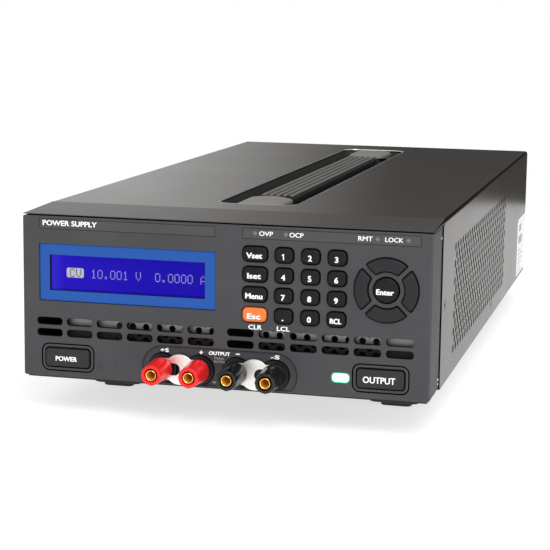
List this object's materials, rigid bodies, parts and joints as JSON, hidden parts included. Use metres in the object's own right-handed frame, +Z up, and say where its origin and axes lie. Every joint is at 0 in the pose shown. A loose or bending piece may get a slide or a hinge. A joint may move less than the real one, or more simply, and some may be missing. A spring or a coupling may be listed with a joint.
{
  "type": "bench power supply",
  "caption": "Half-width bench power supply: sheet-metal case with recessed carrying strap, lit display, keypad, arrow ring, vent slots, push buttons and screw-cap binding posts.",
  "frame": {"origin": "under the middle of the object's box, on the surface that the feet stand on", "axes": "+X to the right seen from the front, +Y from the front panel to the rear panel, +Z up"},
  "size_m": [0.2144, 0.4634, 0.107],
  "materials": {
    "key": "satin moulded silicone keys, near black",
    "key_orange": "satin moulded silicone key, orange",
    "steel": "zinc plated sheet steel",
    "paint": "fine textured grey powder coat",
    "rear_paint": "fine textured dark powder coat",
    "bezel": "spark-eroded matt grey moulding",
    "lit_frame": "back-lit blue light guide, satin",
    "lcd": "lit violet-blue character display",
    "rubber": "matt silicone sheet",
    "board": "green solder resist",
    "lamp": "lit pale green light pipe",
    "post_black": "semi-gloss black moulding",
    "post_red": "semi-gloss red moulding",
    "brass": "gold plated turned brass",
    "nickel": "bright satin nickel plate",
    "tray": "matt dark moulding",
    "strap_cap": "satin grey cast cap",
    "strap": "ribbed soft vinyl over a steel strip",
    "foot": "matt rubber",
    "fan": "glass-filled black moulding",
    "inlet": "black thermoset",
    "winding": "yellow tape over copper and ferrite",
    "aluminium": "mill-finish extrusion"
  },
  "bodies": {
    "case": {"base_chassis": "steel", "top_cover": "paint", "rear_panel": "rear_paint", "front_bezel": "bezel", "display_frame": "lit_frame", "lcd_panel": "lcd", "keypad_mat": "rubber", "front_board": "board", "output_lamp": "lamp", "post_base": "post_black", "post_stud_sense_plus": "brass", "post_stud_plus": "brass", "post_stud_minus": "brass", "post_stud_sense_minus": "brass", "link_plus": "nickel", "link_minus": "nickel", "handle_tray": "tray", "strap_cap_front": "strap_cap", "strap_cap_rear": "strap_cap", "foot_front_left": "foot", "foot_front_right": "foot", "foot_rear_left": "foot", "foot_rear_right": "foot", "fan_frame": "fan", "mains_inlet": "inlet", "rear_terminals": "inlet", "main_board": "board", "transformer": "winding", "heat_sink": "aluminium"},
    "key_vset": {"key_vset": "key"},
    "key_iset": {"key_iset": "key"},
    "key_menu": {"key_menu": "key"},
    "key_esc": {"key_esc": "key_orange"},
    "key_1": {"key_1": "key"},
    "key_4": {"key_4": "key"},
    "key_7": {"key_7": "key"},
    "key_point": {"key_point": "key"},
    "key_2": {"key_2": "key"},
    "key_5": {"key_5": "key"},
    "key_8": {"key_8": "key"},
    "key_0": {"key_0": "key"},
    "key_3": {"key_3": "key"},
    "key_6": {"key_6": "key"},
    "key_9": {"key_9": "key"},
    "key_recall": {"key_recall": "key"},
    "arrow_right": {"arrow_right": "key"},
    "arrow_up": {"arrow_up": "key"},
    "arrow_left": {"arrow_left": "key"},
    "arrow_down": {"arrow_down": "key"},
    "key_enter": {"key_enter": "key"},
    "power_button": {"power_button": "key"},
    "output_button": {"output_button": "key"},
    "post_cap_sense_plus": {"post_cap_sense_plus": "post_red"},
    "post_cap_plus": {"post_cap_plus": "post_red"},
    "post_cap_minus": {"post_cap_minus": "post_black"},
    "post_cap_sense_minus": {"post_cap_sense_minus": "post_black"},
    "strap_front": {"strap_front": "strap"},
    "strap_grip": {"strap_grip": "strap"},
    "strap_rear": {"strap_rear": "strap"},
    "fan_rotor": {"fan_rotor": "fan"}
  },
  "joints": [
    {"name": "key_vset_press", "type": "slide", "parent": "case", "child": "key_vset", "axis": [0, 1, 0], "range_m": [0, 0.0012], "stiffness_N_per_m": 250, "springref_m": -0.002},
    {"name": "key_iset_press", "type": "slide", "parent": "case", "child": "key_iset", "axis": [0, 1, 0], "range_m": [0, 0.0012], "stiffness_N_per_m": 250, "springref_m": -0.002},
    {"name": "key_menu_press", "type": "slide", "parent": "case", "child": "key_menu", "axis": [0, 1, 0], "range_m": [0, 0.0012], "stiffness_N_per_m": 250, "springref_m": -0.002},
    {"name": "key_esc_press", "type": "slide", "parent": "case", "child": "key_esc", "axis": [0, 1, 0], "range_m": [0, 0.0012], "stiffness_N_per_m": 250, "springref_m": -0.002},
    {"name": "key_1_press", "type": "slide", "parent": "case", "child": "key_1", "axis": [0, 1, 0], "range_m": [0, 0.0012], "stiffness_N_per_m": 250, "springref_m": -0.002},
    {"name": "key_4_press", "type": "slide", "parent": "case", "child": "key_4", "axis": [0, 1, 0], "range_m": [0, 0.0012], "stiffness_N_per_m": 250, "springref_m": -0.002},
    {"name": "key_7_press", "type": "slide", "parent": "case", "child": "key_7", "axis": [0, 1, 0], "range_m": [0, 0.0012], "stiffness_N_per_m": 250, "springref_m": -0.002},
    {"name": "key_point_press", "type": "slide", "parent": "case", "child": "key_point", "axis": [0, 1, 0], "range_m": [0, 0.0012], "stiffness_N_per_m": 250, "springref_m": -0.002},
    {"name": "key_2_press", "type": "slide", "parent": "case", "child": "key_2", "axis": [0, 1, 0], "range_m": [0, 0.0012], "stiffness_N_per_m": 250, "springref_m": -0.002},
    {"name": "key_5_press", "type": "slide", "parent": "case", "child": "key_5", "axis": [0, 1, 0], "range_m": [0, 0.0012], "stiffness_N_per_m": 250, "springref_m": -0.002},
    {"name": "key_8_press", "type": "slide", "parent": "case", "child": "key_8", "axis": [0, 1, 0], "range_m": [0, 0.0012], "stiffness_N_per_m": 250, "springref_m": -0.002},
    {"name": "key_0_press", "type": "slide", "parent": "case", "child": "key_0", "axis": [0, 1, 0], "range_m": [0, 0.0012], "stiffness_N_per_m": 250, "springref_m": -0.002},
    {"name": "key_3_press", "type": "slide", "parent": "case", "child": "key_3", "axis": [0, 1, 0], "range_m": [0, 0.0012], "stiffness_N_per_m": 250, "springref_m": -0.002},
    {"name": "key_6_press", "type": "slide", "parent": "case", "child": "key_6", "axis": [0, 1, 0], "range_m": [0, 0.0012], "stiffness_N_per_m": 250, "springref_m": -0.002},
    {"name": "key_9_press", "type": "slide", "parent": "case", "child": "key_9", "axis": [0, 1, 0], "range_m": [0, 0.0012], "stiffness_N_per_m": 250, "springref_m": -0.002},
    {"name": "key_recall_press", "type": "slide", "parent": "case", "child": "key_recall", "axis": [0, 1, 0], "range_m": [0, 0.0012], "stiffness_N_per_m": 250, "springref_m": -0.002},
    {"name": "arrow_right_press", "type": "slide", "parent": "case", "child": "arrow_right", "axis": [0, 1, 0], "range_m": [0, 0.0012], "stiffness_N_per_m": 250, "springref_m": -0.002},
    {"name": "arrow_up_press", "type": "slide", "parent": "case", "child": "arrow_up", "axis": [0, 1, 0], "range_m": [0, 0.0012], "stiffness_N_per_m": 250, "springref_m": -0.002},
    {"name": "arrow_left_press", "type": "slide", "parent": "case", "child": "arrow_left", "axis": [0, 1, 0], "range_m": [0, 0.0012], "stiffness_N_per_m": 250, "springref_m": -0.002},
    {"name": "arrow_down_press", "type": "slide", "parent": "case", "child": "arrow_down", "axis": [0, 1, 0], "range_m": [0, 0.0012], "stiffness_N_per_m": 250, "springref_m": -0.002},
    {"name": "key_enter_press", "type": "slide", "parent": "case", "child": "key_enter", "axis": [0, 1, 0], "range_m": [0, 0.0012], "stiffness_N_per_m": 250, "springref_m": -0.002},
    {"name": "power_button_press", "type": "slide", "parent": "case", "child": "power_button", "axis": [0, 1, 0], "range_m": [0, 0.002], "stiffness_N_per_m": 400, "springref_m": -0.002},
    {"name": "output_button_press", "type": "slide", "parent": "case", "child": "output_button", "axis": [0, 1, 0], "range_m": [0, 0.002], "stiffness_N_per_m": 400, "springref_m": -0.002},
    {"name": "post_cap_sense_plus_unscrew", "type": "slide", "parent": "case", "child": "post_cap_sense_plus", "axis": [0, -1, 0], "range_m": [0, 0.005]},
    {"name": "post_cap_plus_unscrew", "type": "slide", "parent": "case", "child": "post_cap_plus", "axis": [0, -1, 0], "range_m": [0, 0.005]},
    {"name": "post_cap_minus_unscrew", "type": "slide", "parent": "case", "child": "post_cap_minus", "axis": [0, -1, 0], "range_m": [0, 0.005]},
    {"name": "post_cap_sense_minus_unscrew", "type": "slide", "parent": "case", "child": "post_cap_sense_minus", "axis": [0, -1, 0], "range_m": [0, 0.005]},
    {"name": "strap_lift", "type": "hinge", "parent": "case", "child": "strap_front", "pos_m": [0, -0.10225, 0.1005], "axis": [1, 0, 0], "range_deg": [0, 25]},
    {"name": "strap_level", "type": "hinge", "parent": "strap_front", "child": "strap_grip", "pos_m": [0, -0.06025, 0.0987], "axis": [1, 0, 0], "range_deg": [-25.5, 0]},
    {"name": "strap_return", "type": "hinge", "parent": "strap_grip", "child": "strap_rear", "pos_m": [0, 0.10475, 0.0987], "axis": [1, 0, 0], "range_deg": [-25.5, 0]},
    {"name": "fan_spin", "type": "hinge", "parent": "case", "child": "fan_rotor", "pos_m": [-0.062, 0.20775, 0.063], "axis": [0, 1, 0], "continuous": true}
  ],
  "couplings": [
    {"joint": "strap_level", "follows": "strap_lift", "ratio": -1},
    {"joint": "strap_return", "follows": "strap_lift", "ratio": -1}
  ]
}
